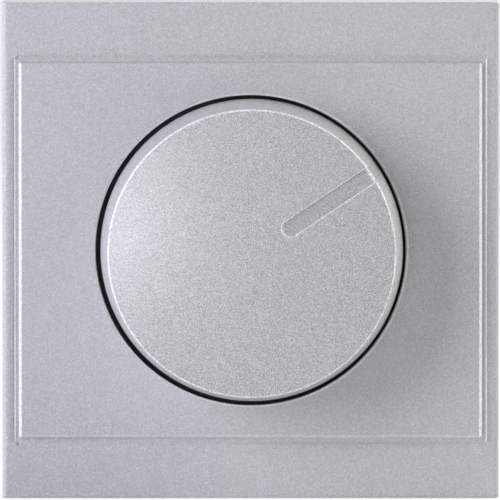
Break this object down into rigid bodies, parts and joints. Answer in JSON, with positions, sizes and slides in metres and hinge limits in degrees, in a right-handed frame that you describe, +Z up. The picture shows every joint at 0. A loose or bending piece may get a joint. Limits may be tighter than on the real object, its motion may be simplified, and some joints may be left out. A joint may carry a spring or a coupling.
{
  "type": "dimmer switch",
  "caption": "Flush wall dimmer: round push-and-turn knob with a pointer groove in a silver centre plate and square cover frame, on a steel plate with a boxed insert and spreading claws.",
  "frame": {"origin": "on the shaft's axis, in the plane of the wall's face", "axes": "+X to the right and +Z up as seen from the front, +Y into the wall, along the shaft"},
  "size_m": [0.08, 0.0467, 0.08],
  "materials": {
    "cover_lacquer": "aluminium-effect lacquer, satin with a fine metallic grain",
    "knob_lacquer": "aluminium-effect lacquer, satin with a fine metallic grain",
    "moulded_black": "moulded, finely eroded",
    "support_steel": "zinc plated, rolled",
    "spring_steel": "bright drawn",
    "plated_screw": "zinc plated, turned",
    "turned_brass": "turned",
    "pot_plastic": "moulded",
    "rotor_plastic": "moulded, natural white",
    "track_laminate": "phenolic laminate with a carbon ring",
    "board_laminate": "paper laminate, drilled",
    "ferrite": "pressed powder",
    "copper_wire": "enamelled copper wire",
    "capacitor_case": "potted case, yellow",
    "dark_case": "moulded case",
    "resistor_body": "lacquered body"
  },
  "bodies": {
    "root": {"cover_frame": "cover_lacquer", "centre_plate": "cover_lacquer", "clamp_nut": "turned_brass", "mounting_plate": "support_steel", "housing": "moulded_black", "housing_screws": "plated_screw", "pot_bushing": "turned_brass", "pot_body": "pot_plastic", "resistor_track": "track_laminate", "pot_pins": "plated_screw", "switch_body": "pot_plastic", "return_spring": "spring_steel", "circuit_board": "board_laminate", "choke_core": "ferrite", "choke_winding": "copper_wire", "film_capacitor": "capacitor_case", "timing_capacitor": "capacitor_case", "resistors": "resistor_body", "fuse": "dark_case", "triac": "dark_case", "triac_rivet": "plated_screw", "terminal_cages": "turned_brass", "terminal_screws": "plated_screw", "claw_pin_left": "plated_screw", "claw_pin_right": "plated_screw"},
    "rotor": {"wiper_rotor": "rotor_plastic", "wiper_contact": "spring_steel"},
    "shaft": {"control_shaft": "support_steel", "knob": "knob_lacquer", "knob_clip": "spring_steel"},
    "plunger": {"switch_plunger": "rotor_plastic"},
    "claw_left": {"claw_left": "support_steel"},
    "claw_screw_left": {"claw_screw_left": "plated_screw"},
    "claw_nut_left": {"claw_nut_left": "turned_brass"},
    "claw_right": {"claw_right": "support_steel"},
    "claw_screw_right": {"claw_screw_right": "plated_screw"},
    "claw_nut_right": {"claw_nut_right": "turned_brass"}
  },
  "joints": [
    {"name": "knob_turn", "type": "hinge", "parent": "root", "child": "rotor", "pos_m": [0, 0, 0], "axis": [0, -1, 0], "range_deg": [-78.6, 191.4]},
    {"name": "knob_push", "type": "slide", "parent": "rotor", "child": "shaft", "axis": [0, 1, 0], "range_m": [0, 0.0016], "stiffness_N_per_m": 800, "springref_m": -0.002},
    {"name": "plunger_slide", "type": "slide", "parent": "root", "child": "plunger", "axis": [0, 1, 0], "range_m": [0, 0.0016], "deforming": ["return_spring"]},
    {"name": "claw_screw_left_turn", "type": "hinge", "parent": "root", "child": "claw_screw_left", "pos_m": [-0.02441, 0, 0], "axis": [0, 1, 0], "range_deg": [0, 1440]},
    {"name": "claw_left_swing", "type": "hinge", "parent": "root", "child": "claw_left", "pos_m": [-0.02085, 0.006, 0], "axis": [0, 0, 1], "range_deg": [0, 31.41]},
    {"name": "claw_nut_left_slide", "type": "slide", "parent": "root", "child": "claw_nut_left", "axis": [0, -1, 0], "range_m": [0, 0.002]},
    {"name": "claw_screw_right_turn", "type": "hinge", "parent": "root", "child": "claw_screw_right", "pos_m": [0.02441, 0, 0], "axis": [0, 1, 0], "range_deg": [0, 1440]},
    {"name": "claw_right_swing", "type": "hinge", "parent": "root", "child": "claw_right", "pos_m": [0.02085, 0.006, 0], "axis": [0, 0, -1], "range_deg": [0, 31.41]},
    {"name": "claw_nut_right_slide", "type": "slide", "parent": "root", "child": "claw_nut_right", "axis": [0, -1, 0], "range_m": [0, 0.002]}
  ],
  "couplings": [
    {"joint": "plunger_slide", "follows": "knob_push", "ratio": 1},
    {"joint": "claw_left_swing", "follows": "claw_nut_left_slide", "rad_per_m": 274.02},
    {"joint": "claw_screw_left_turn", "follows": "claw_nut_left_slide", "rad_per_m": 12566},
    {"joint": "claw_right_swing", "follows": "claw_nut_right_slide", "rad_per_m": 274.02},
    {"joint": "claw_screw_right_turn", "follows": "claw_nut_right_slide", "rad_per_m": 12566}
  ]
}
